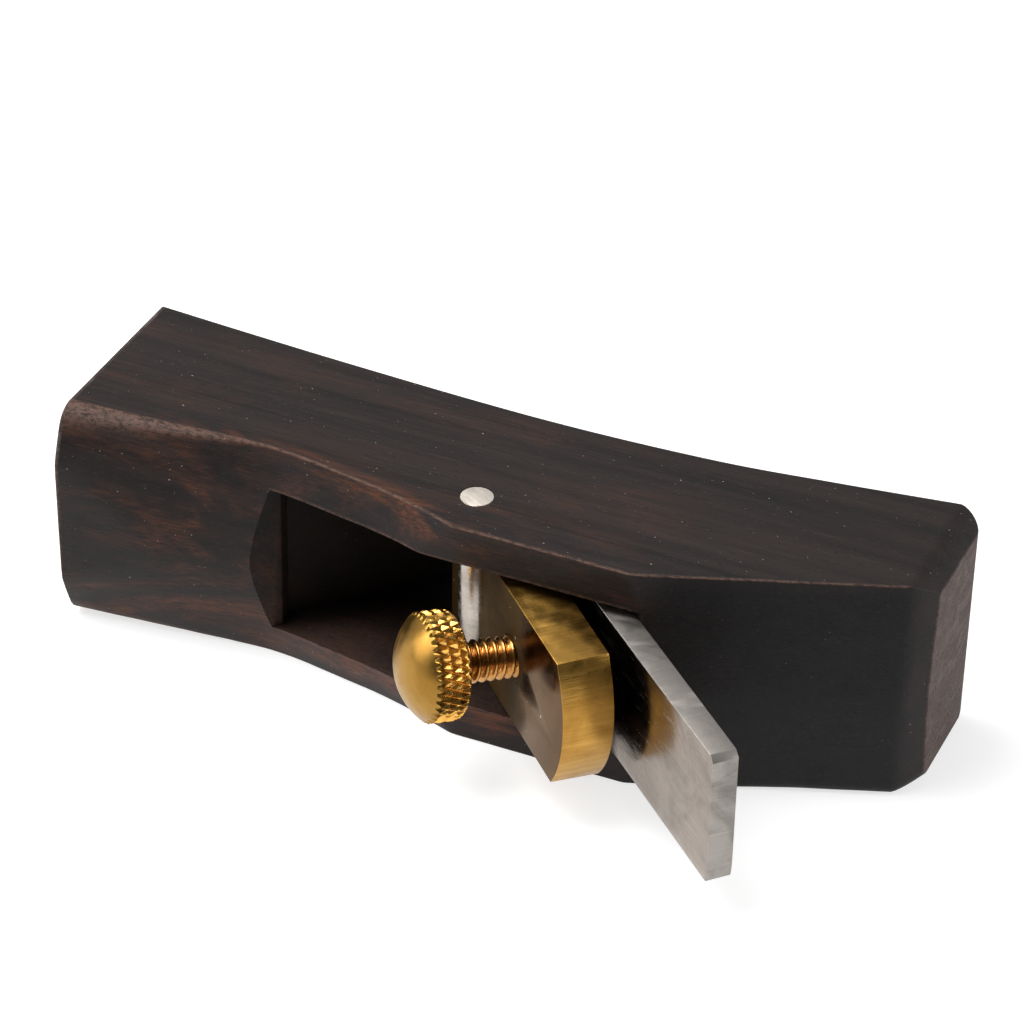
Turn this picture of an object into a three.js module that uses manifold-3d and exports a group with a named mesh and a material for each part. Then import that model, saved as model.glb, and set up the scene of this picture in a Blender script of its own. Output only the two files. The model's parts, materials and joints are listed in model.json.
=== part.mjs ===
// A small hardwood hand plane with a hollow sole, lying on one cheek.
// Millimetres, +Z up. +X runs from toe to heel, +Y from the top of the stock
// to its sole, and Z runs across the stock from one cheek to the other.
// Everything is built about the cross pin's axis, and the whole tool is then
// moved so that the origin is at the middle of its footprint.

import * as THREE from 'three';
import { mergeVertices } from 'three/addons/utils/BufferGeometryUtils.js';
import Module from 'manifold-3d';

const wasm = await Module();
wasm.setup();

// ---- driving dimensions ---------------------------------------------------

const GAP = 0.3;                       // left between pieces that touch

const STOCK = {
  toe: -48.95,                        // end faces, measured from the pin
  heel: 51.05,
  width: 28,                           // across the two cheeks
  plateau: -6.5,                       // flat top over the throat
  heelSlopeStart: 20.9,
  heelSlope: 0.388,
  crownToe: 3.6,                       // how far the top stands proud at mid width
  crownThroat: 3.2,
  crownHeel: 1.1,
  crownShape: 1.5,                     // 1 is a plain ridge, 2 an even curve
  arris: 0.3,                          // radius along the long edges
  arrisToe: 1.8,                       // the top's edges are rubbed rounder at the toe
  rubbedFrom: -25,                     // where they begin to be
  toeCorner: 0.3,
  heelSoleCorner: 3.0,                 // radius of the sole's corner at the heel
  chamferLength: 2.8,                  // worn chamfers round the rest of the heel's end
  chamferDepth: 1.9,
};
const TOP_LINE = [[-48.95, -2.3], [-38, -1.75], [-25, -1.0], [-15, -2.35], [-7, -4.0], [2, -7.0]];
const SOLE_LINE = [[-48.95, 20.05], [-25, 18.35], [0, 17.3], [20, 17.9], [34, 19.55], [51.05, 22.05]];

const PIN_RADIUS = 1.9;

const THROAT = {
  width: 18.8,
  front: { x: -24.2, y: -2.8 },        // where its bevel meets the top at the cheeks
  bevel: 1.1,                          // depth of the 45 degree bevel
  wallFoot: { x: -23.5, y: 0.6 },      // foot of the short upright wall
  mouthFront: { x: -8.3, y: 17.3 },    // where the ramp comes out of the sole
  beyond: 10,                          // how far the cut's front runs past the stock's top
  bedLength: 30,                       // of the cut, up along the bed
  belowSole: 1.5,
};

const BLADE = {
  angle: 43,                           // degrees from the stock's length
  face: 7.55,                          // from the pin's axis to its upper face
  thickness: 3,
  width: 16.4,
  edge: -17.0,                         // cutting edge, along the blade from the pin
  end: 44.8,
  bevelAngle: 30,
  cornerLength: 1.3,                   // clipped corners of the free end
  cornerWidth: 2.2,
};

const CAP = {
  angle: 45,
  thickness: 5.9,
  width: 16.4,
  nose: -8.5,                          // lower end, along the cap from the pin
  noseFlat: 1.2,
  relief: -4.5,                        // where the back rises to the nose
  end: 26.35,
  endRadius: 14.4,
  endOffset: 0.6,                      // the end's highest point is a little above mid width
};

const SCREW = {
  along: 10.95,                        // from the pin, along the cap
  lean: 5.5,                           // degrees that its hole leans towards the upper cheek
  radius: 2.4,
  tipChamfer: 0.5,
  headRadius: 6.15,
  headBack: 6.75,                      // head's underside, out from the cap's face
  rim: 3.5,
  rimChamfer: 0.6,
  domeHeight: 2.9,
};

// ---- helpers --------------------------------------------------------------

const wood = new THREE.MeshStandardMaterial({ color: 0x2a1a14, roughness: 0.5, metalness: 0 });
const brass = new THREE.MeshStandardMaterial({ color: 0xb58a2c, roughness: 0.3, metalness: 1 });
const steel = new THREE.MeshStandardMaterial({ color: 0x9b938a, roughness: 0.35, metalness: 1 });

/** A closed three.js geometry as a manifold solid. */
function solid(geometry) {
  const bare = geometry.clone();
  bare.deleteAttribute('normal');
  bare.deleteAttribute('uv');
  const merged = mergeVertices(bare, 1e-4);
  return new wasm.Manifold(new wasm.Mesh({
    numProp: 3,
    vertProperties: new Float32Array(merged.attributes.position.array),
    triVerts: new Uint32Array(merged.index.array),
  }));
}

/** A manifold solid as a three.js geometry. */
function geometryOf(manifold) {
  const { vertProperties, triVerts } = manifold.getMesh();
  const geometry = new THREE.BufferGeometry();
  geometry.setAttribute('position', new THREE.BufferAttribute(vertProperties, 3));
  geometry.setIndex(new THREE.BufferAttribute(triVerts, 1));
  geometry.computeVertexNormals();
  return geometry;
}

/** An outline in X and Y, extruded from one height to another. */
function prism(points, low, high) {
  const shape = new THREE.Shape(points.map(([x, y]) => new THREE.Vector2(x, y)));
  const geometry = new THREE.ExtrudeGeometry(shape, { depth: high - low, bevelEnabled: false });
  return geometry.translate(0, 0, low);
}

/** An upright cylinder between two heights. */
function roundBar(radius, low, high, sides = 32) {
  const geometry = new THREE.CylinderGeometry(radius, radius, high - low, sides);
  return geometry.rotateX(Math.PI / 2).translate(0, 0, (low + high) / 2);
}

/** The height of a smooth line through a few points, at x. */
function lineAt(points, x) {
  const curve = new THREE.SplineCurve(points.map(([px, py]) => new THREE.Vector2(px, py)));
  let low = 0;
  let high = 1;
  for (let step = 0; step < 30; step += 1) {
    const middle = (low + high) / 2;
    if (curve.getPoint(middle).x < x) low = middle;
    else high = middle;
  }
  return curve.getPoint(low).y;
}

/** How far a rounded corner of this radius has fallen back at a distance from the edge. */
function rounding(distance, radius) {
  const inside = Math.max(0, radius - Math.max(0, distance));
  return radius - Math.sqrt(radius * radius - inside * inside);
}

/** The same for the heel's worn chamfers, which are a little convex. */
function chamfering(distance) {
  const share = Math.max(0, 1 - distance / STOCK.chamferLength);
  return STOCK.chamferDepth * share ** 1.35;
}

const midHeight = STOCK.width / 2;
const lean = THREE.MathUtils.degToRad(SCREW.lean);

// ---- stock ----------------------------------------------------------------

/** 0 from the throat to the heel, rising to 1 at the toe. */
function toeShare(x) {
  return THREE.MathUtils.clamp((x - STOCK.rubbedFrom) / (STOCK.toe - STOCK.rubbedFrom), 0, 1);
}

/** The stock's top at x, for side = -1 at one cheek to 1 at the other. */
function stockTop(x, side) {
  const { plateau, heelSlopeStart, heelSlope, crownToe, crownThroat, crownHeel, crownShape } = STOCK;
  const bulge = 1 - Math.abs(side) ** crownShape;
  const crown = THREE.MathUtils.lerp(crownThroat, crownToe, toeShare(x));
  const arris = THREE.MathUtils.lerp(STOCK.arris, STOCK.arrisToe, toeShare(x));
  const toePart = x < TOP_LINE.at(-1)[0] ? lineAt(TOP_LINE, x) - crown * bulge - arris : -Infinity;
  const heelPart = plateau + heelSlope * (x - heelSlopeStart) - crownHeel * bulge;
  const eased = rounding((1 - Math.abs(side)) * midHeight, arris);
  return Math.max(toePart, plateau, heelPart) + eased;
}

/** Distances along one end of the stock, from its face inwards. */
const NEAR_TOE = [0, 0.1, 0.3, 1.2, 2.6];
const NEAR_HEEL = [0, 0.2, 0.6, 1.2, 2.0, 2.8];
const ACROSS = [0, 0.1, 0.3, 0.9, 1.8, 4.2, 7, 10.5];
const STATION_STEP = 1.9;

/** A box whose faces are moved onto the stock's surfaces. */
function stockBlock() {
  const { toe, heel, width } = STOCK;
  const stations = NEAR_TOE.map((d) => toe + d);
  const heelStations = NEAR_HEEL.map((d) => heel - d).reverse();
  for (let x = stations.at(-1) + STATION_STEP; x < heelStations[0]; x += STATION_STEP) stations.push(x);
  stations.push(...heelStations);

  const fractions = ACROSS.map((d) => -1 + (2 * d) / width);
  fractions.push(0, ...fractions.map((f) => -f).reverse());

  const geometry = new THREE.BoxGeometry(1, 1, 1, stations.length - 1, 1, fractions.length - 1);
  const position = geometry.attributes.position;
  for (let i = 0; i < position.count; i += 1) {
    const x = stations[Math.round((position.getX(i) + 0.5) * (stations.length - 1))];
    const side = fractions[Math.round((position.getZ(i) + 0.5) * (fractions.length - 1))];
    const fromCheek = (1 - Math.abs(side)) * midHeight;
    const toeFall = rounding(x - toe, STOCK.toeCorner);
    const half = midHeight - toeFall - chamfering(heel - x);
    const top = stockTop(x, side) + toeFall + chamfering(heel - x);
    const sole = lineAt(SOLE_LINE, x) - rounding(fromCheek, STOCK.arris) - toeFall
      - rounding(heel - x, STOCK.heelSoleCorner);
    position.setXYZ(i, x, position.getY(i) < 0 ? top : sole, midHeight + side * half);
  }
  return geometry;
}

/** The directions up along a bar bedded at this many degrees, and square to it towards the bed. */
function bedded(angle) {
  const turn = THREE.MathUtils.degToRad(angle);
  return {
    up: new THREE.Vector2(Math.cos(turn), -Math.sin(turn)),
    back: new THREE.Vector2(Math.sin(turn), Math.cos(turn)),
  };
}

/** The throat's outline: bevel, short wall and ramp in front, the bed behind. */
function throatOutline() {
  const { front, bevel, wallFoot, mouthFront, beyond, bedLength, belowSole } = THROAT;
  const { up, back } = bedded(BLADE.angle);
  const bed = back.clone().multiplyScalar(BLADE.face + BLADE.thickness + GAP);
  const bedTop = bed.clone().addScaledVector(up, bedLength);
  const footY = mouthFront.y + belowSole;
  const bedFoot = bed.clone().addScaledVector(up, (footY - bed.y) / up.y);
  return [
    [front.x - beyond, front.y - beyond],
    [front.x + bevel, front.y + bevel],
    [wallFoot.x, wallFoot.y],
    [mouthFront.x, mouthFront.y],
    [mouthFront.x, footY],
    [bedFoot.x, bedFoot.y],
    [bedTop.x, bedTop.y],
  ];
}

function stock() {
  const throatLow = midHeight - THROAT.width / 2;
  const throat = solid(prism(throatOutline(), throatLow, throatLow + THROAT.width));
  const pinHole = solid(roundBar(PIN_RADIUS + GAP, -1, STOCK.width + 1));
  return geometryOf(solid(stockBlock()).subtract(throat).subtract(pinHole));
}

// ---- metal parts ----------------------------------------------------------
// The blade and the lever cap are drawn with X up along them from the pin and
// Y towards the bed, and their meshes are turned to their bedding angles.

function blade() {
  const { face, thickness, width, edge, end, bevelAngle, cornerLength, cornerWidth } = BLADE;
  const bevel = thickness / Math.tan(THREE.MathUtils.degToRad(bevelAngle));
  const side = prism([
    [edge, face], [end, face], [end, face + thickness], [edge + bevel, face + thickness],
  ], midHeight - width / 2, midHeight + width / 2);
  // the same bar seen from above, in X and across, turned so that it crosses the side view
  const plan = prism([
    [edge - 1, -width], [end - cornerLength, -width], [end - cornerLength, -width / 2],
    [end, -width / 2 + cornerWidth], [end, width / 2 - cornerWidth],
    [end - cornerLength, width / 2], [end - cornerLength, width], [edge - 1, width],
  ], 0, 3 * face);
  plan.rotateX(-Math.PI / 2).translate(0, 0, midHeight);
  return geometryOf(solid(side).intersect(solid(plan)));
}

function leverCap() {
  const { thickness, width, nose, noseFlat, relief, end, endRadius, endOffset } = CAP;
  const tilt = THREE.MathUtils.degToRad(CAP.angle - BLADE.angle);
  const noseBack = (BLADE.face - GAP) / Math.cos(tilt) + nose * Math.tan(tilt);
  const side = prism([
    [nose, noseFlat], [nose + noseFlat, 0], [end, 0], [end, thickness],
    [relief, thickness], [nose + noseFlat, noseBack], [nose, noseBack],
  ], midHeight - width / 2, midHeight + width / 2);
  // the rounded end, seen from the front
  const outline = new THREE.Shape();
  const reach = Math.asin((width / 2 + endOffset + GAP) / endRadius);
  outline.moveTo(nose - 1, -width);
  outline.lineTo(end - endRadius + endRadius * Math.cos(reach), -width);
  outline.absarc(end - endRadius, 0, endRadius, -reach, reach, false);
  outline.lineTo(end - endRadius + endRadius * Math.cos(reach), width);
  outline.lineTo(nose - 1, width);
  const through = 4 * thickness;
  const plan = new THREE.ExtrudeGeometry(outline, { depth: through, bevelEnabled: false, curveSegments: 20 });
  plan.translate(0, 0, -through / 2).rotateX(-Math.PI / 2).translate(0, 0, midHeight + endOffset);

  const groove = solid(roundBar(PIN_RADIUS + GAP, 0, STOCK.width));
  const hole = new THREE.CylinderGeometry(SCREW.radius + GAP, SCREW.radius + GAP, through, 32);
  hole.rotateX(-lean).translate(SCREW.along, 0, midHeight);
  return geometryOf(solid(side).intersect(solid(plan)).subtract(groove).subtract(solid(hole)));
}

/** A turned shape about the screw's axis: pairs of radius and distance out from the cap's face. */
function turned(profile, sides) {
  const points = profile.map(([r, out]) => new THREE.Vector2(r, out));
  return new THREE.LatheGeometry(points, sides);
}

function thumbscrewShank() {
  const { radius, headBack, tipChamfer } = SCREW;
  const tilt = THREE.MathUtils.degToRad(CAP.angle - BLADE.angle);
  const tip = (BLADE.face - GAP) / Math.cos(tilt) + SCREW.along * Math.tan(tilt) - radius * Math.sin(lean);
  return turned([
    [0, -tip], [radius - tipChamfer, -tip], [radius, -tip + tipChamfer],
    [radius, headBack - GAP], [0, headBack - GAP],
  ], 28);
}

function thumbscrewHead() {
  const { headRadius, headBack, rim, rimChamfer, domeHeight } = SCREW;
  const sphere = (headRadius * headRadius + domeHeight * domeHeight) / (2 * domeHeight);
  const base = headBack + rim;
  const profile = [
    [0, headBack], [headRadius - rimChamfer, headBack], [headRadius, headBack + rimChamfer],
  ];
  const steps = 8;
  for (let i = 0; i <= steps; i += 1) {
    const r = headRadius * Math.cos((Math.PI / 2) * (i / steps));
    profile.push([i === steps ? 0 : r, base + domeHeight - (sphere - Math.sqrt(sphere * sphere - r * r))]);
  }
  return turned(profile, 40);
}

// ---- assembly -------------------------------------------------------------

const tool = new THREE.Group();

function place(name, geometry, material, parent) {
  const mesh = new THREE.Mesh(geometry, material);
  mesh.name = name;
  parent.add(mesh);
  return mesh;
}

place('stock', stock(), wood, tool);
place('cross_pin', roundBar(PIN_RADIUS, 0, STOCK.width), steel.clone(), tool);
place('blade', blade(), steel, tool).rotation.z = -THREE.MathUtils.degToRad(BLADE.angle);

const leverCapGroup = new THREE.Group();
leverCapGroup.rotation.z = -THREE.MathUtils.degToRad(CAP.angle);
place('lever_cap', leverCap(), brass, leverCapGroup);

// the screw's own Y points out of the cap's face, away from the blade
const screw = new THREE.Group();
screw.position.set(SCREW.along, 0, midHeight);
screw.rotation.set(-lean, 0, Math.PI);
place('thumbscrew_shank', thumbscrewShank(), brass.clone(), screw);
place('thumbscrew_head', thumbscrewHead(), brass.clone(), screw);
leverCapGroup.add(screw);
tool.add(leverCapGroup);

// put the origin at the middle of the footprint, on the surface it lies on
const footprint = new THREE.Box3().setFromObject(tool, true);
const middle = footprint.getCenter(new THREE.Vector3());
tool.position.set(-middle.x, -middle.y, -footprint.min.z);

export default tool;
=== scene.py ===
"""A small hollow-soled hand plane lying on its cheek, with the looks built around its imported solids.

Lengths are in millimetres about the cross pin's axis until a mesh is made, and in metres after that.
"""

import json
import math

import bmesh
import bpy
import numpy as np
from mathutils import Matrix, Vector


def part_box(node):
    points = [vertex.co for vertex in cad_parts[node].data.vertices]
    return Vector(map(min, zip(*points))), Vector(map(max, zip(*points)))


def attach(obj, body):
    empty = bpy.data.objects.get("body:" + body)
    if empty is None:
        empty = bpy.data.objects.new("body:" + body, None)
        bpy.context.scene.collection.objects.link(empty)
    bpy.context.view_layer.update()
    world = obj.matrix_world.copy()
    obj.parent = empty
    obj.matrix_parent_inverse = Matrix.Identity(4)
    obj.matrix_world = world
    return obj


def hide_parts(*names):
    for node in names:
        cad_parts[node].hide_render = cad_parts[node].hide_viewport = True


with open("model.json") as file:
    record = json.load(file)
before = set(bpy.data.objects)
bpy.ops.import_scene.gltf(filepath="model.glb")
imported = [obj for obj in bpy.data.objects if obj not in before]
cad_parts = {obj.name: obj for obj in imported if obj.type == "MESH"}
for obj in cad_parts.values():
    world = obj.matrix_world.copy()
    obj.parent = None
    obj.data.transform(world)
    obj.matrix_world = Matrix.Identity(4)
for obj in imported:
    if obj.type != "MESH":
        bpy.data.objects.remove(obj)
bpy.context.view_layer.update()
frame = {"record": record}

MM = 0.001
JOINTS = {joint["name"]: joint for joint in frame["record"]["behaviour"]["joints"]}
PIN = np.array([*JOINTS["cap_tilt"]["pos_m"][:2], 0.0])
STOCK_LOW, STOCK_HIGH = (np.array(corner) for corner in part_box("stock"))
WIDTH = (STOCK_HIGH[2] - STOCK_LOW[2]) / MM
MIDDLE = WIDTH / 2
TOE = (STOCK_LOW[0] - PIN[0]) / MM
HEEL = (STOCK_HIGH[0] - PIN[0]) / MM

# ---- the tool's own sizes, in millimetres -------------------------------------------------------

TOP_LINE = [(-48.95, -2.3), (-38, -1.75), (-25, -1.0), (-15, -2.35), (-7, -4.0), (2, -7.0)]
SOLE_LINE = [(-48.95, 20.05), (-25, 18.35), (0, 17.3), (20, 17.9), (34, 19.55), (51.05, 22.05)]
PLATEAU = -6.5
HEEL_SLOPE_START = 20.9
HEEL_SLOPE = 0.388
CROWN_TOE, CROWN_THROAT, CROWN_HEEL = 4.1, 3.2, 1.1
CROWN_SHAPE = 1.5
ARRIS = 0.16
ARRIS_TOE = 1.8
RUBBED_FROM = -25
LOWER_WEAR, LOWER_WEAR_FROM, LOWER_WEAR_GROWS = 1.0, 26, 12
TOE_CORNER = 0.2
TOE_SKEW = 0.35
HEEL_SOLE_CORNER = 3.0
SOLE_ARRIS = 0.25
CHAMFER_LENGTH, CHAMFER_DEPTH = 2.8, 1.9
CHAMFER_CURVE = 1.35
CREASE = 0.12
WAVER = 0.02
EASED = 0.14

PIN_RADIUS = 1.9
THROAT_WIDTH = 18.8
THROAT_FRONT = [(-34.2, -12.8), (-23.1, -1.7), (-23.5, 0.6), (-8.3, 17.3), (-8.3, 18.8)]
THROAT_TOP = -14.0

# the play left between pieces that touch on the real tool
PIN_PLAY, GROOVE_PLAY, THREAD_PLAY, BED_PLAY, BLADE_PLAY = 0.03, 0.04, 0.05, 0.02, 0.05

BED_ANGLE = 43.0
BLADE_FACE = 7.55
BLADE_THICK = 3.0
BLADE_WIDTH = 16.4
BLADE_EDGE, BLADE_END = -17.0, 44.8
BLADE_BEVEL = 30.0

CAP_ANGLE = 45.0
CAP_THICK = 5.9
CAP_WIDTH = 16.4
CAP_NOSE, CAP_END = -8.5, 26.35
CAP_NOSE_TIP, CAP_RELIEF = 1.2, -4.5
CAP_END_RADIUS = 14.4
CAP_END_OFFSET = 0.6
CAP_FLARE = 0.9

SCREW_ALONG = 10.95
SCREW_LEAN = math.radians(5.5)
SCREW_RADIUS = 2.4
SCREW_PITCH = 1.0
THREAD_DEPTH = 0.46
TIP_TAPER, TIP_LENGTH = 0.7, 0.9
HEAD_RADIUS = 6.15
HEAD_BACK = 6.75
HEAD_RIM = 3.5
HEAD_DOME = 2.9
HEAD_CHAMFER = 0.5
INTO_HEAD = 0.3
DOME_FROM = 0.9
KNURL_STARTS = 38
KNURL_DEPTH = 0.42
KNURL_PITCH = 2.4
KNURL_STOPS = 0.45

# the camera's place, from the pin's axis at the lower cheek
CAMERA_FROM_PIN = (149.557, -338.009, 280.915)
LENS, SENSOR = 144.67, 36


# ---- mesh helpers -------------------------------------------------------------------------------

def to_frame(points):
    """Millimetres about the pin, at the lower cheek, to metres in the row's frame."""
    return np.asarray(points, float) * MM + PIN


def bedded(points, angle):
    """Points drawn along a bar (X up along it, Y towards the bed) turned to its bedding angle."""
    turn = math.radians(angle)
    x, y, z = np.asarray(points, float).T
    return np.stack([x * math.cos(turn) + y * math.sin(turn), y * math.cos(turn) - x * math.sin(turn), z], 1)


def make_object(name, points, faces, materials):
    """A mesh object from points in millimetres about the pin."""
    mesh = bpy.data.meshes.new(name)
    mesh.from_pydata(to_frame(points).tolist(), [], faces)
    mesh.validate()
    for material in materials:
        mesh.materials.append(material)
    made = bpy.data.objects.new(name, mesh)
    bpy.context.scene.collection.objects.link(made)
    return made


def recalculate(mesh):
    """Turns every face of a closed mesh outwards."""
    work = bmesh.new()
    work.from_mesh(mesh)
    bmesh.ops.recalc_face_normals(work, faces=work.faces)
    work.to_mesh(mesh)
    work.free()


def prism(outline, low, high):
    """Points and faces of an outline in X and Y, run from one height to another."""
    count = len(outline)
    points = [(x, y, low) for x, y in outline] + [(x, y, high) for x, y in outline]
    faces = [list(range(count))[::-1], list(range(count, 2 * count))]
    faces += [[i, (i + 1) % count, count + (i + 1) % count, count + i] for i in range(count)]
    return points, faces


def turned_prism(outline, low, high):
    """The same for an outline in X and Z, run along Y."""
    points, faces = prism(outline, low, high)
    return [(x, y, z) for x, z, y in points], faces


def circle(radius, sides):
    steps = np.linspace(0, 2 * math.pi, sides, endpoint=False)
    return [(radius * math.cos(a), radius * math.sin(a)) for a in steps]


def combine(target, tool, operation):
    """Cuts or joins one object with another, and leaves the result as plain mesh."""
    for piece in (target, tool):
        recalculate(piece.data)
    step = target.modifiers.new("combine", "BOOLEAN")
    step.operation = operation
    step.solver = "EXACT"
    step.object = tool
    bpy.context.view_layer.update()
    done = bpy.data.meshes.new_from_object(target.evaluated_get(bpy.context.evaluated_depsgraph_get()))
    target.modifiers.clear()
    target.data = done
    bpy.data.objects.remove(tool)


def ease_edges(target, width, over, segments=2):
    """Rounds the edges where faces meet more sharply than an angle, and shades the rest smooth."""
    work = bmesh.new()
    work.from_mesh(target.data)
    bmesh.ops.remove_doubles(work, verts=work.verts, dist=2e-6)
    limit = math.radians(over)
    sharp = [e for e in work.edges if len(e.link_faces) == 2 and e.calc_face_angle(0) > limit]
    bmesh.ops.bevel(work, geom=sharp, offset=width * MM, segments=segments, profile=0.5,
                    affect="EDGES", clamp_overlap=True)
    work.to_mesh(target.data)
    work.free()
    target.data.shade_smooth()
    target.data.set_sharp_from_angle(angle=math.radians(28))


def smooth_line(points, x):
    """The height at x of a smooth line through a few points."""
    marks = np.asarray(points, float)
    padded = np.vstack([marks[:1], marks, marks[-1:]])
    steps = np.linspace(0, len(marks) - 1, 400)
    at = np.minimum(steps.astype(int), len(marks) - 2)
    t = (steps - at)[:, None]
    a, b, c, d = (padded[at + k] for k in range(4))
    line = b + 0.5 * t * (c - a + t * (2 * a - 5 * b + 4 * c - d + t * (3 * (b - c) + d - a)))
    return np.interp(x, line[:, 0], line[:, 1])


def rounding(distance, radius):
    """How far a rounded corner has fallen back at a distance from its edge."""
    inside = np.maximum(radius - np.maximum(distance, 0), 0)
    return radius - np.sqrt(np.maximum(radius * radius - inside * inside, 0))


def soft_max(a, b, blend):
    """The larger of two surfaces, with the crease between them eased."""
    return (a + b + np.sqrt((a - b) ** 2 + blend * blend)) / 2


# ---- material helpers ---------------------------------------------------------------------------

SOCKETS = {"base_color": "Base Color", "roughness": "Roughness", "metallic": "Metallic",
           "specular": "Specular IOR Level", "edge_tint": "Specular Tint",
           "glow": "Emission Color", "glow_strength": "Emission Strength"}


class Shader:
    """Builds one procedural material node by node around its own principled shader."""

    def __init__(self, name):
        self.material = bpy.data.materials.new(name)
        self.material.use_nodes = True
        self.tree = self.material.node_tree
        self.surface = self.tree.nodes["Principled BSDF"]
        self.place = self.node("TexCoord").outputs["Object"]

    def node(self, kind, inputs=None, **settings):
        made = self.tree.nodes.new("ShaderNode" + kind)
        for key, value in settings.items():
            setattr(made, key, value)
        for key, value in (inputs or {}).items():
            self.feed(made.inputs[key], value)
        return made

    def feed(self, socket, value):
        if isinstance(value, bpy.types.NodeSocket):
            self.tree.links.new(value, socket)
        else:
            socket.default_value = value

    def set(self, **values):
        for key, value in values.items():
            self.feed(self.surface.inputs[SOCKETS[key]], value)

    def stretched(self, scale, turn=0.0, shift=(0, 0, 0)):
        """The object's own coordinates, turned about Z and scaled per metre."""
        turned = self.node("Mapping", {"Vector": self.place, "Rotation": (0, 0, math.radians(turn))})
        scaled = self.node("Mapping", {"Vector": turned.outputs[0], "Scale": scale, "Location": shift})
        return scaled.outputs[0]

    def noise(self, scale, detail=3.0, rough=0.55, warp=0.0, turn=0.0, shift=(0, 0, 0)):
        where = self.stretched(scale, turn, shift)
        made = self.node("TexNoise", {"Vector": where, "Scale": 1.0, "Detail": detail,
                                      "Roughness": rough, "Distortion": warp})
        return made.outputs["Fac"]

    def curve(self, value, low, high, to_low=0.0, to_high=1.0):
        made = self.node("MapRange", {"Value": value, "From Min": low, "From Max": high,
                                      "To Min": to_low, "To Max": to_high}, interpolation_type="SMOOTHSTEP")
        return made.outputs["Result"]

    def math(self, operation, a, b=0.0):
        made = self.node("Math", operation=operation)
        self.feed(made.inputs[0], a)
        self.feed(made.inputs[1], b)
        return made.outputs[0]

    def mix(self, amount, a, b):
        made = self.node("Mix", data_type="RGBA")
        self.feed(made.inputs["Factor"], amount)
        for socket, value in zip([s for s in made.inputs if s.type == "RGBA"], (a, b)):
            self.feed(socket, (*value, 1.0) if isinstance(value, tuple) else value)
        return next(s for s in made.outputs if s.type == "RGBA")

    def attribute(self, name):
        return self.node("Attribute", attribute_name=name).outputs["Fac"]

    def bump(self, height, distance, strength=1.0, under=None):
        made = self.node("Bump", {"Height": height, "Distance": distance, "Strength": strength})
        if under:
            self.feed(made.inputs["Normal"], under)
        self.feed(self.surface.inputs["Normal"], made.outputs["Normal"])
        return made.outputs["Normal"]


# ---- materials ----------------------------------------------------------------------------------

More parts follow.
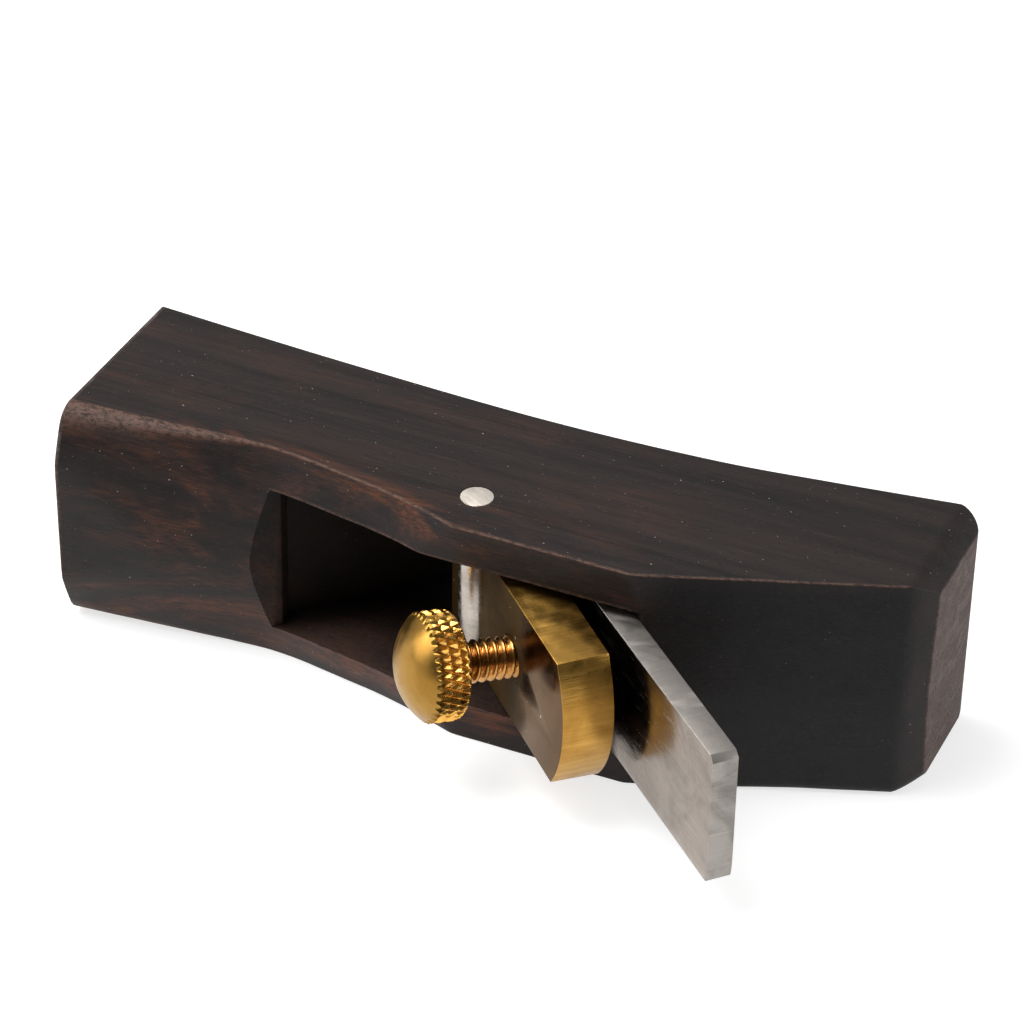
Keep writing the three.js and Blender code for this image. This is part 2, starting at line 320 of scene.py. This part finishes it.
def dark_wood():
    """Near-black oiled hardwood: fine streaks along X, red-brown patches that partly carry painted light,
    open pores, worn arrises with a painted edge highlight, and painted shade inside the throat and over the
    heel's top.
    """
    s = Shader("dark_wood")
    streaks = s.noise((22, 520, 520), 6, 0.66, 0.5)
    fine = s.noise((130, 4200, 4200), 4, 0.62)
    bands = s.noise((7, 210, 130), 3, 0.5, 1.2, shift=(3.1, 0, 0))
    patches = s.noise((30, 95, 95), 5, 0.66, 0.9, shift=(0.4, 1.7, 0.2))
    pores = s.noise((520, 6200, 6200), 2, 0.5, shift=(5, 0, 0))
    specks = s.noise((2600, 4400, 4400), 1, 0.4, shift=(0, 9, 0))
    ragged = s.noise((1400, 2600, 2600), 3, 0.7, shift=(7, 0, 0))
    rings = s.noise((300, 190, 620), 4, 0.7, 1.2, shift=(0, 2, 0))
    # arris: rubbed edges, lightened partly for real wear and partly as a painted edge highlight
    worn = s.attribute("arris")
    red = s.attribute("warmth")
    end_grain = s.attribute("end_grain")
    # inside: the faces within the throat, which get a painted shade
    inside = s.attribute("inside")
    # polished marks the heel's top, which gets a near-black painted shade
    polished = s.attribute("polished")

    base = s.mix(s.curve(streaks, 0.34, 0.68), (0.0068, 0.0050, 0.0048), (0.0165, 0.0110, 0.0098))
    base = s.mix(s.curve(bands, 0.46, 0.7, 0.0, 0.6), base, (0.020, 0.0135, 0.0118))
    # red patches: partly the wood's own, partly painted light that keeps them off the cheeks and the heel
    warm = s.math("MULTIPLY", s.curve(patches, 0.46, 0.72), red)
    warm = s.math("MULTIPLY", warm, s.curve(fine, 0.34, 0.62, 0.2, 1.0))
    base = s.mix(warm, base, (0.120, 0.037, 0.014))
    base = s.mix(s.curve(fine, 0.56, 0.74, 0.0, 0.35), base, (0.045, 0.032, 0.028))
    grey = s.mix(s.curve(ragged, 0.3, 0.7), (0.022, 0.017, 0.016), (0.060, 0.049, 0.046))
    grey = s.mix(s.curve(rings, 0.48, 0.62), grey, (0.105, 0.086, 0.082))
    base = s.mix(s.math("MULTIPLY", end_grain, 0.85), base, grey)
    # rubbed arrises lightened: partly real wear, partly a painted edge highlight
    rubbed_and_highlit = s.math("MULTIPLY", worn, s.curve(ragged, 0.36, 0.58, 0.15, 1.0))
    base = s.mix(rubbed_and_highlit, base, (0.11, 0.060, 0.044))
    open_pores = s.curve(pores, 0.62, 0.70)
    base = s.mix(s.math("MULTIPLY", open_pores, 0.75), base, (0.004, 0.003, 0.003))
    dust = s.curve(specks, 0.785, 0.805)
    base = s.mix(s.math("MULTIPLY", dust, 0.7), base, (0.42, 0.37, 0.33))
    # painted shade: the heel's top is mixed almost to black, the dark it shows from how light falls on it
    heel_top_painted_shade = s.math("MULTIPLY", polished, s.curve(fine, 0.35, 0.7, 0.95, 0.6))
    base = s.mix(heel_top_painted_shade, base, (0.0014, 0.0012, 0.0016))
    # painted shade: the faces inside the throat are darkened towards black
    base = s.mix(s.math("MULTIPLY", inside, 0.66), base, (0.0050, 0.0028, 0.0022))

    gloss = s.curve(streaks, 0.3, 0.7, 0.40, 0.52)
    gloss = s.math("ADD", gloss, s.math("MULTIPLY", s.math("ADD", worn, end_grain), 0.15))
    gloss = s.math("ADD", gloss, s.math("MULTIPLY", inside, 0.2))
    s.set(base_color=base, roughness=gloss, specular=0.2)
    height = s.math("ADD", s.math("MULTIPLY", fine, 0.5), s.math("MULTIPLY", streaks, 0.5))
    height = s.math("SUBTRACT", height, s.math("MULTIPLY", open_pores, 0.8))
    height = s.math("ADD", height, s.math("MULTIPLY", s.math("MULTIPLY", worn, ragged), 3.0))
    s.bump(height, 0.00007, 0.6)
    return s.material


def brass(name, roughness, tint, brushed=0.0, painted_shade=False):
    """Brass, a little tarnished and pitted, with file marks across it or a brown painted shade near the pin.
    """
    s = Shader(name)
    tarnish = s.noise((170, 170, 170), 4, 0.6, 0.5)
    clouds = s.noise((700, 700, 700), 3, 0.55)
    marks = s.noise((6400, 110, 6400), 3, 0.6, turn=CAP_ANGLE)
    coarse = s.noise((2100, 60, 700), 3, 0.6, turn=CAP_ANGLE, shift=(4, 0, 0))
    pits = s.noise((3800, 3800, 3800), 1, 0.4, shift=(0, 3, 0))
    darker = tuple(channel * shade for channel, shade in zip(tint, (0.66, 0.56, 0.42)))
    lighter = tuple(min(1.0, channel * shade) for channel, shade in zip(tint, (1.45, 1.5, 1.65)))
    base = s.mix(s.curve(tarnish, 0.35, 0.72, 0.0, 0.7), tint, darker)
    base = s.mix(s.curve(marks, 0.35, 0.75, 0.0, 0.45 * brushed), base, darker)
    base = s.mix(s.curve(coarse, 0.5, 0.75, 0.0, 0.5 * brushed), base, lighter)
    base = s.mix(s.curve(pits, 0.73, 0.77, 0.0, 0.45), base, (0.14, 0.08, 0.03))
    rough = s.curve(clouds, 0.3, 0.7, roughness * 0.85, roughness * 1.25)
    rough = s.math("ADD", rough, s.math("MULTIPLY", marks, 0.16 * brushed))
    metal = 1.0
    if painted_shade:
        # painted shade: part of the face turns dark brown, less metallic and rougher, as a painted shaded
        # reflection
        along = s.node("SeparateXYZ", {"Vector": s.stretched((1, 1, 1), CAP_ANGLE)}).outputs[0]
        edge = s.math("ADD", along, s.math("MULTIPLY", tarnish, 0.003))
        painted_brown_shade = s.curve(edge, 0.0105, 0.0165, 0.95, 0.0)
        base = s.mix(painted_brown_shade, base, (0.046, 0.026, 0.007))
        dust = s.curve(s.noise((1500, 1500, 1500), 1, 0.4, shift=(6, 0, 0)), 0.76, 0.785, 0.0, 0.6)
        base = s.mix(dust, base, (0.75, 0.66, 0.50))
        rough = s.math("ADD", rough, s.math("MULTIPLY", painted_brown_shade, 0.34))
        metal = s.curve(painted_brown_shade, 0, 1, 1.0, 0.15)
        s.set(edge_tint=(0.86, 0.78, 0.71, 1.0), specular=0.1)
    s.set(base_color=base, roughness=rough, metallic=metal)
    under = None
    if brushed:
        under = s.bump(s.noise((260, 260, 200), 1, 0.4, shift=(1, 2, 0)), 0.0003 * brushed, 1.0)
    height = s.math("ADD", s.math("MULTIPLY", marks, brushed), s.math("MULTIPLY", clouds, 0.12))
    s.bump(height, 0.00004, 0.6, under)
    return s.material


def steel(name, roughness, tint, grinding, turn=0.0, scuffs=0.3):
    """Ground steel: grinding marks of a given scale, soft blotches and light scuffs."""
    s = Shader(name)
    marks = s.noise(grinding, 3, 0.65, turn=turn)
    blotches = s.noise((190, 190, 190), 5, 0.62, 0.8)
    clouds = s.noise((850, 850, 850), 3, 0.6)
    rubs = s.noise((230, 60, 900), 4, 0.7, 0.8, turn=turn + 25, shift=(2, 0, 0))
    darker = tuple(channel * 0.66 for channel in tint)
    lighter = tuple(min(1.0, channel * 1.5) for channel in tint)
    base = s.mix(s.curve(blotches, 0.38, 0.68, 0.0, 0.75), tint, darker)
    base = s.mix(s.curve(clouds, 0.52, 0.75, 0.0, 0.4), base, darker)
    base = s.mix(s.curve(rubs, 0.55, 0.75, 0.0, scuffs), base, lighter)
    base = s.mix(s.curve(marks, 0.5, 0.8, 0.0, 0.35), base, lighter)
    rough = s.curve(blotches, 0.3, 0.7, roughness * 0.85, roughness * 1.3)
    rough = s.math("ADD", rough, s.curve(rubs, 0.5, 0.75, 0.0, 0.18))
    s.set(base_color=base, roughness=rough, metallic=1.0)
    s.bump(s.math("ADD", marks, s.math("MULTIPLY", clouds, 0.4)), 0.00003, 0.6)
    return s.material


# ---- the stock ----------------------------------------------------------------------------------

def toe_share(x):
    """0 from the throat to the heel, rising to 1 at the toe."""
    return np.clip((x - RUBBED_FROM) / (TOE - RUBBED_FROM), 0, 1)


def top_at(x, side):
    """The stock's top at x, for side from -1 at one cheek to 1 at the other."""
    share = toe_share(x)
    bulge = 1 - (np.abs(side) ** 2 + 0.004) ** (CROWN_SHAPE / 2)
    crown = CROWN_THROAT + share * (CROWN_TOE - CROWN_THROAT)
    arris = ARRIS + share * (ARRIS_TOE - ARRIS)
    toe = np.where(x < 2, smooth_line(TOP_LINE, x), -7.0) - crown * bulge - arris
    heel = PLATEAU + HEEL_SLOPE * (x - HEEL_SLOPE_START) - CROWN_HEEL * bulge
    top = soft_max(soft_max(toe, PLATEAU, CREASE), heel, CREASE)
    worn = LOWER_WEAR * np.clip((np.abs(x) - LOWER_WEAR_FROM) / LOWER_WEAR_GROWS, 0, 1)
    return top + rounding((1 - np.abs(side)) * MIDDLE, arris) + rounding((1 + side) * MIDDLE, worn)


def chamfering(distance):
    """How far the heel's worn chamfers, a little convex, have fallen back at a distance from its end."""
    return CHAMFER_DEPTH * np.clip(1 - distance / CHAMFER_LENGTH, 0, 1) ** CHAMFER_CURVE


def stock_block():
    """A closed grid laid over the stock's surfaces, with its corners and arrises rounded."""
    stations = [TOE + d for d in (0, 0.05, 0.12, 0.2, 0.28, 0.6, 1.1)] + list(np.arange(TOE + 1.9, -27, 0.9))
    stations += list(np.arange(-26.9, 3.0, 0.42)) + list(np.arange(3.6, 19.0, 0.9))
    stations += list(np.arange(19.3, 25.5, 0.42)) + list(np.arange(26.1, HEEL - 4.0, 0.9))
    stations = np.array(stations + [HEEL - d for d in (3.4, 2.8, 2.4, 1.9, 1.4, 0.9, 0.5, 0.2, 0.0)])
    edge = [0, 0.03, 0.08, 0.16, 0.35, 0.65, 1.1, 1.8, 2.6, 3.4, 4.2, 5.1, 6.2, 7.6, 9.1, 10.6, 12.0, 13.1]
    outer = [1 - d / MIDDLE for d in edge]
    across = np.array([-share for share in outer] + [0.0] + outer[::-1])

    x, side = np.meshgrid(stations, across, indexing="ij")
    from_cheek = (1 - np.abs(side)) * MIDDLE
    toe_fall = rounding(x - TOE, TOE_CORNER)
    half = MIDDLE - toe_fall - chamfering(HEEL - x) * (0.88 + 0.12 * side)
    waver = WAVER * np.sin(0.83 * x + 2.3 * side) * np.cos(0.41 * x - 5 * side)
    top = top_at(x, side) + toe_fall + chamfering(HEEL - x)
    sole = smooth_line(SOLE_LINE, x) - rounding(from_cheek, SOLE_ARRIS) - toe_fall
    sole = sole - rounding(HEEL - x, HEEL_SOLE_CORNER)
    z = MIDDLE + side * half
    x = x - TOE_SKEW * (1 + side) / 2 * toe_share(x)

    rows, columns = x.shape
    upper = np.stack([x, top + waver, z], 2).reshape(-1, 3)
    lower = np.stack([x, sole, z], 2).reshape(-1, 3)
    # the cheeks and ends are filled in with belts of faces between the top's rim and the sole's
    points, faces = [*upper.tolist(), *lower.tolist()], []
    half_count = rows * columns

    def grid(i, j):
        return i * columns + j

    for i in range(rows - 1):
        for j in range(columns - 1):
            quad = [grid(i, j), grid(i + 1, j), grid(i + 1, j + 1), grid(i, j + 1)]
            faces += [quad, [half_count + k for k in reversed(quad)]]
    rim = [grid(i, 0) for i in range(rows)] + [grid(rows - 1, j) for j in range(1, columns)]
    rim += [grid(i, columns - 1) for i in range(rows - 2, -1, -1)]
    rim += [grid(0, j) for j in range(columns - 2, 0, -1)]
    belts = [rim]
    for share in (0.006, 0.018, 0.045, 0.1, 0.2, 0.35, 0.5, 0.65, 0.8, 0.93, 0.985):
        belts.append(list(range(len(points), len(points) + len(rim))))
        points += [(upper[k] * (1 - share) + lower[k] * share).tolist() for k in rim]
    belts.append([half_count + k for k in rim])
    for above, below in zip(belts, belts[1:]):
        for k in range(len(rim)):
            after = (k + 1) % len(rim)
            faces.append([above[k], below[k], below[after], above[after]])
    return points, faces


def paint_stock(stock):
    """Marks rubbed arrises that also take a painted edge highlight, redder wood that partly stands in for
    how light falls, the heel's top, marked polished, for a near-black painted shade, end grain, and the
    faces inside the throat for a painted shade.
    """
    mesh = stock.data
    points = np.empty(3 * len(mesh.vertices))
    mesh.vertices.foreach_get("co", points)
    points = (points.reshape(-1, 3) - PIN) / MM
    x, y, z = points.T
    side = (z - MIDDLE) / MIDDLE
    from_cheek = (1 - np.abs(side)) * MIDDLE
    from_top = y - top_at(x, side)
    from_end = np.minimum(x - TOE, HEEL - x)
    # rubbed arrises, ends and throat lips, lightened in the wood: partly real wear, partly a painted edge
    # highlight
    reach = 0.15 + 2.0 * toe_share(x)
    rub_and_highlight = np.clip(1 - from_cheek / reach, 0, 1) ** 0.7 * np.clip(1.1 - from_top / 0.3, 0, 1)
    rub_and_highlight = np.maximum(rub_and_highlight, 0.8 * np.clip(1 - np.abs(from_end - 0.05) / 0.15, 0, 1))
    wall = np.abs(np.abs(z - MIDDLE) - THROAT_WIDTH / 2)
    lip = np.clip(1 - wall / 0.3, 0, 1) * np.clip(1 - np.abs(from_top) / 0.35, 0, 1)
    lip *= (x > THROAT_FRONT[1][0] - 1) & (x < 21)
    rub_and_highlight = np.maximum(rub_and_highlight, 0.7 * lip)
    # Red patches are strongest over the toe and the top and fade over the cheeks and the heel: partly the
    # wood's own patches, partly painted light, with the lit toe top redder and the heel's top darker.
    warmth = np.interp(x, [TOE, -44, -30, -12, 4, 18, 24, HEEL], [1.0, 1.0, 0.85, 1.1, 1.4, 1.2, 0.10, 0.04])
    warmth = warmth * np.where(from_top < 1.2, 1.0, 0.22)
    end = np.clip(1 - from_end / 0.12, 0, 1)
    # the heel's top is marked here for a near-black painted shade
    polished = np.clip((x - HEEL_SLOPE_START + 0.9) / 6, 0, 1) * np.clip(from_end / 0.4, 0, 1)
    polished = polished * np.clip(1.6 - from_top / 0.4, 0, 1) * np.clip(from_cheek / 2.5 + 0.3, 0, 1)
    for name, values in (("arris", rub_and_highlight), ("warmth", warmth), ("end_grain", end), ("polished", polished)):
        layer = mesh.attributes.new(name, "FLOAT", "POINT")
        layer.data.foreach_set("value", values.astype(np.float32))

    # the faces inside the throat are marked for a painted shade and a rougher finish
    centres = np.empty(3 * len(mesh.polygons))
    mesh.polygons.foreach_get("center", centres)
    x, y, z = ((centres.reshape(-1, 3) - PIN) / MM).T
    side = (z - MIDDLE) / MIDDLE
    throat_shade_faces = (np.abs(z - MIDDLE) < THROAT_WIDTH / 2 + 0.01) & (y > top_at(x, side) + 0.2)
    throat_shade_faces = throat_shade_faces & (x > THROAT_FRONT[1][0] - 2.2) & (x < 22) & (y < smooth_line(SOLE_LINE, x) - 0.1)
    layer = mesh.attributes.new("inside", "FLOAT", "FACE")
    layer.data.foreach_set("value", throat_shade_faces.astype(np.float32))


def make_stock():
    stock = make_object("stock_wood", *stock_block(), [dark_wood()])
    turn = math.radians(BED_ANGLE)
    bed = BLADE_FACE + BLADE_THICK + BED_PLAY
    bed_ends = [((bed / math.cos(turn) - y) / math.tan(turn), y) for y in (THROAT_FRONT[-1][1], THROAT_TOP)]
    outline = [*THROAT_FRONT, *bed_ends]
    low = MIDDLE - THROAT_WIDTH / 2
    combine(stock, make_object("throat_cut", *prism(outline, low, low + THROAT_WIDTH), []), "DIFFERENCE")
    hole = prism(circle(PIN_RADIUS + PIN_PLAY, 48), -2, WIDTH + 2)
    combine(stock, make_object("pin_cut", *hole, []), "DIFFERENCE")
    ease_edges(stock, EASED, over=32)
    paint_stock(stock)
    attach(stock, "stock")
    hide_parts("stock")


# ---- metal pieces -------------------------------------------------------------------------------

def make_pin():
    low, high = 0.02, WIDTH - 0.01
    points, faces = prism(circle(PIN_RADIUS, 64), low, high)
    shaft = steel("pin_shaft", 0.24, (0.46, 0.41, 0.36), (900, 900, 120))
    filed = steel("pin_end", 0.62, (0.64, 0.585, 0.52), (300, 4200, 4200), turn=24)
    pin = make_object("pin_steel", points, faces, [shaft, filed])
    for face in pin.data.polygons:
        face.material_index = 1 if abs(face.normal.z) > 0.9 else 0
    ease_edges(pin, 0.08, over=60)
    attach(pin, "stock")
    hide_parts("cross_pin")


def make_blade():
    bevel = BLADE_THICK / math.tan(math.radians(BLADE_BEVEL))
    back = BLADE_FACE + BLADE_THICK
    side = [(BLADE_EDGE, BLADE_FACE), (BLADE_END, BLADE_FACE), (BLADE_END, back), (BLADE_EDGE + bevel, back)]
    low, high = MIDDLE - BLADE_WIDTH / 2, MIDDLE + BLADE_WIDTH / 2
    points, faces = prism(side, low, high)
    polished = steel("blade_face", 0.17, (0.28, 0.24, 0.205), (90, 3000, 3000), BED_ANGLE)
    ground = steel("blade_edges", 0.5, (0.33, 0.305, 0.28), (2800, 90, 2800), BED_ANGLE, 0.6)
    blade = make_object("blade_steel", bedded(points, BED_ANGLE), faces, [polished, ground])
    plan = [(BLADE_EDGE - 1, low - 1), (BLADE_END - 0.2, low - 1), (BLADE_END - 0.2, low),
            (BLADE_END, low + 1.5), (BLADE_END + 0.2, high - 2.5), (BLADE_END + 0.05, high - 0.7),
            (BLADE_END - 0.8, high), (BLADE_END - 0.8, high + 1), (BLADE_EDGE - 1, high + 1)]
    points, faces = turned_prism(plan, 0, 20)
    combine(blade, make_object("blade_plan", bedded(points, BED_ANGLE), faces, []), "INTERSECT")
    ease_edges(blade, 0.13, over=20, segments=3)
    turn = math.radians(BED_ANGLE)
    outward = Vector((-math.sin(turn), -math.cos(turn), 0))
    for face in blade.data.polygons:
        face.material_index = 0 if abs(face.normal.dot(outward)) > 0.97 else 1
    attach(blade, "blade")
    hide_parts("blade")


def make_lever_cap():
    tilt = math.radians(CAP_ANGLE - BED_ANGLE)
    nose_back = (BLADE_FACE - BLADE_PLAY) / math.cos(tilt) + CAP_NOSE * math.tan(tilt)
    groove = PIN_RADIUS + GROOVE_PLAY
    arc = [(groove * math.cos(a), groove * math.sin(a)) for a in np.linspace(math.pi, 0, 25)]
    side = [(CAP_NOSE, CAP_NOSE_TIP), (CAP_NOSE + CAP_NOSE_TIP, 0), *arc, (CAP_END, 0), (CAP_END, CAP_THICK),
            (CAP_RELIEF, CAP_THICK), (CAP_NOSE + CAP_NOSE_TIP, nose_back), (CAP_NOSE, nose_back)]
    low, high = MIDDLE - CAP_WIDTH / 2, MIDDLE + CAP_WIDTH / 2
    # the cap's front face is a much darker copy of the brushed brass: a painted shaded reflection of the
    # floor beside the tool
    polished = brass("front_brass_painted_shade", 0.2, (0.115, 0.070, 0.040), painted_shade=True)
    brushed = brass("brushed_brass", 0.24, (0.50, 0.285, 0.066), brushed=1.0)
    points, faces = prism(side, low, high)
    points = [(x, y, z - (CAP_FLARE * y / CAP_THICK if z < MIDDLE else 0)) for x, y, z in points]
    cap = make_object("cap_brass", bedded(points, CAP_ANGLE), faces, [polished, brushed])
    reach = math.asin((CAP_WIDTH / 2 + CAP_END_OFFSET + CAP_FLARE + 0.3) / CAP_END_RADIUS)
    ends = np.linspace(-reach, reach, 41)
    centre, middle = CAP_END - CAP_END_RADIUS, MIDDLE + CAP_END_OFFSET
    plan = [(centre + CAP_END_RADIUS * math.cos(a), middle + CAP_END_RADIUS * math.sin(a)) for a in ends]
    corner = plan[0][0]
    plan = [(CAP_NOSE - 1, low - 3), (corner, low - 3), *plan, (corner, high + 2), (CAP_NOSE - 1, high + 2)]
    points, faces = turned_prism(plan, -10, 20)
    combine(cap, make_object("cap_plan", bedded(points, CAP_ANGLE), faces, []), "INTERSECT")
    hole = np.full((2, 48), SCREW_RADIUS + THREAD_PLAY)
    points, faces = turned_surface(hole, (-12, 6), (-12, 6))
    combine(cap, make_object("screw_hole", points, faces, []), "DIFFERENCE")
    ease_edges(cap, 0.16, over=30, segments=3)
    turn = math.radians(CAP_ANGLE)
    outward = Vector((-math.sin(turn), -math.cos(turn), 0))
    for face in cap.data.polygons:
        face.material_index = 0 if abs(face.normal.dot(outward)) > 0.9 else 1
    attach(cap, "lever_cap")
    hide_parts("lever_cap")


def turned_surface(radii, outs, centre_out):
    """Points and faces of a turned skin with radii[i][k] at each step out and turn, closed at its ends.

    The screw's axis stands on the cap's face and points away from the blade.
    """
    steps, sides = radii.shape
    angles = np.linspace(0, 2 * math.pi, sides, endpoint=False)
    points = []
    for radius, out in zip(radii, outs):
        points += [(r * math.cos(a), -out, r * math.sin(a)) for r, a in zip(radius, angles)]
    faces = []
    for i in range(steps - 1):
        for k in range(sides):
            after = (k + 1) % sides
            faces.append([i * sides + k, i * sides + after, (i + 1) * sides + after, (i + 1) * sides + k])
    for ring, out in ((0, centre_out[0]), (steps - 1, centre_out[1])):
        points.append((0, -out, 0))
        hub = len(points) - 1
        faces += [[hub, ring * sides + k, ring * sides + (k + 1) % sides] for k in range(sides)]
    x, y, z = np.array(points).T
    lean_cos, lean_sin = math.cos(SCREW_LEAN), math.sin(SCREW_LEAN)
    leaning = [x + SCREW_ALONG, y * lean_cos + z * lean_sin, z * lean_cos - y * lean_sin + MIDDLE]
    return bedded(np.stack(leaning, 1), CAP_ANGLE), faces


def wave(value):
    """A triangular wave from 0 to 1 and back, once a unit."""
    return 1 - np.abs(2 * (value - np.floor(value)) - 1)


def make_shank():
    tilt = math.radians(CAP_ANGLE - BED_ANGLE)
    tip = (BLADE_FACE - BLADE_PLAY) / math.cos(tilt) + SCREW_ALONG * math.tan(tilt)
    tip -= SCREW_RADIUS * math.sin(SCREW_LEAN)
    outs = np.arange(-tip, HEAD_BACK + INTO_HEAD, SCREW_PITCH / 10)
    sides = 64
    turns = np.arange(sides) / sides
    ridge = wave(outs[:, None] / SCREW_PITCH + turns[None, :])
    crest = np.clip(ridge * 1.25, 0, 1)
    radii = SCREW_RADIUS - THREAD_DEPTH * (1 - crest)
    from_tip = np.clip((outs + tip) / TIP_LENGTH, 0, 1)[:, None]
    radii = np.minimum(radii, SCREW_RADIUS - TIP_TAPER * (1 - from_tip))
    material = brass("thread_brass", 0.24, (0.52, 0.26, 0.075))
    points, faces = turned_surface(radii, outs, (-tip, HEAD_BACK + INTO_HEAD))
    shank = make_object("screw_thread", points, faces, [material])
    recalculate(shank.data)
    shank.data.shade_smooth()
    shank.data.set_sharp_from_angle(angle=math.radians(50))
    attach(shank, "screw_shank")
    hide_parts("thumbscrew_shank")


def make_head():
    sphere = (HEAD_RADIUS**2 + HEAD_DOME**2) / (2 * HEAD_DOME)
    arc = np.linspace(math.asin((HEAD_RADIUS - DOME_FROM) / sphere), 0.02, 22)
    dome_outs = HEAD_RIM + HEAD_DOME - sphere * (1 - np.cos(arc))
    rim_outs = np.arange(0, dome_outs[0], KNURL_PITCH / 20)
    outs = np.concatenate([rim_outs, dome_outs])
    above = outs - (HEAD_RIM + HEAD_DOME - sphere)
    domed = np.sqrt(np.maximum(sphere**2 - above**2, 0))
    plain = np.minimum(domed, HEAD_RADIUS)
    plain = np.minimum(plain, HEAD_RADIUS - HEAD_CHAMFER + outs)
    sides = KNURL_STARTS * 10
    turns = np.arange(sides) / sides * KNURL_STARTS
    across = outs[:, None] / KNURL_PITCH
    lands = np.minimum(wave(turns[None, :] + across), wave(turns[None, :] - across))
    knurled = HEAD_RADIUS - KNURL_DEPTH * (1 - np.clip(1.15 * lands, 0, 1))
    radii = np.minimum(np.repeat(plain[:, None], sides, 1), knurled)
    dome = brass("head_brass", 0.33, (0.38, 0.215, 0.047))
    # the knurl is a lit copy of the head's brass, tinted far lighter than the dome: a painted highlight for
    # its bright facets
    knurl = brass("knurl_brass_painted_highlight", 0.22, (0.98, 0.54, 0.125))
    points, faces = turned_surface(radii, outs + HEAD_BACK, (HEAD_BACK, HEAD_BACK + HEAD_RIM + HEAD_DOME))
    head = make_object("screw_head", points, faces, [dome, knurl])
    recalculate(head.data)
    rim_faces = int(np.sum(rim_outs < HEAD_RIM - KNURL_STOPS)) * sides
    for face in head.data.polygons:
        face.material_index = 1 if face.index < rim_faces else 0
    head.data.shade_smooth()
    head.data.set_sharp_from_angle(angle=math.radians(30))
    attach(head, "screw_head")
    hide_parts("thumbscrew_head")


# ---- floor, light and camera --------------------------------------------------------------------

def make_floor():
    s = Shader("pale_floor")
    shade = s.noise((9, 9, 9), 2, 0.5)
    pale = s.mix(shade, (0.42, 0.42, 0.42), (0.45, 0.45, 0.45))
    s.set(base_color=pale, roughness=0.8, specular=0.1, glow=(1.0, 1.0, 1.0, 1.0), glow_strength=0.70)
    bpy.ops.mesh.primitive_plane_add(size=6, location=(0, 0, -0.00005))
    floor = bpy.context.object
    floor.name = "floor"
    floor.data.materials.append(s.material)


def soft_light(name, place, target, size, power):
    light = bpy.data.lights.new(name, "AREA")
    light.shape = "RECTANGLE"
    light.size, light.size_y = size
    light.energy = power
    made = bpy.data.objects.new(name, light)
    made.location = place
    made.rotation_euler = (Vector(target) - Vector(place)).to_track_quat("-Z", "Y").to_euler()
    bpy.context.scene.collection.objects.link(made)


def make_lights():
    world = bpy.data.worlds.new("studio")
    world.use_nodes = True
    nodes, links = world.node_tree.nodes, world.node_tree.links
    place = nodes.new("ShaderNodeTexCoord")
    towards = nodes.new("ShaderNodeVectorMath")
    towards.operation = "DOT_PRODUCT"
    towards.inputs[1].default_value = Vector((0.36, -0.86, 0.36)).normalized()
    shade = nodes.new("ShaderNodeMapRange")
    shade.interpolation_type = "SMOOTHSTEP"
    for key, value in (("From Min", -0.2), ("From Max", 0.9), ("To Min", 0.55), ("To Max", 0.06)):
        shade.inputs[key].default_value = value
    links.new(place.outputs["Generated"], towards.inputs[0])
    links.new(towards.outputs["Value"], shade.inputs["Value"])
    links.new(shade.outputs["Result"], nodes["Background"].inputs["Strength"])
    nodes["Background"].inputs["Color"].default_value = (1, 1, 1, 1)
    bpy.context.scene.world = world
    soft_light("overhead", (-0.35, -0.1, 0.8), (0, 0, 0), (0.6, 0.6), 9.4)
    soft_light("front_left", (-0.8, -0.35, 0.45), (0, 0, 0.01), (0.45, 0.45), 3.6)
    soft_light("right", (0.8, 0.25, 0.35), (0, 0, 0.01), (0.35, 0.35), 2.5)


def make_camera():
    """A long lens on the front right, looking down at the tool, level to about a degree."""
    azimuth, elevation, roll = (math.radians(a) for a in (23.27, 34.59, 1.31))
    ahead = Vector((-math.sin(azimuth) * math.cos(elevation), math.cos(azimuth) * math.cos(elevation),
                    -math.sin(elevation)))
    level = Vector((math.cos(azimuth), math.sin(azimuth), 0))
    upright = level.cross(ahead)
    right = level * math.cos(roll) + upright * math.sin(roll)
    up = right.cross(ahead)
    camera = bpy.data.cameras.new("camera")
    camera.lens, camera.sensor_width = LENS, SENSOR
    camera.clip_start = 0.01
    made = bpy.data.objects.new("camera", camera)
    place = Vector(to_frame(CAMERA_FROM_PIN))
    made.matrix_world = Matrix.Translation(place) @ Matrix((right, up, -ahead)).transposed().to_4x4()
    bpy.context.scene.collection.objects.link(made)
    bpy.context.scene.camera = made


make_camera()
make_floor()
make_lights()
make_stock()
make_pin()
make_blade()
make_lever_cap()
make_shank()
make_head()
bpy.context.scene.view_settings.view_transform = "Standard"
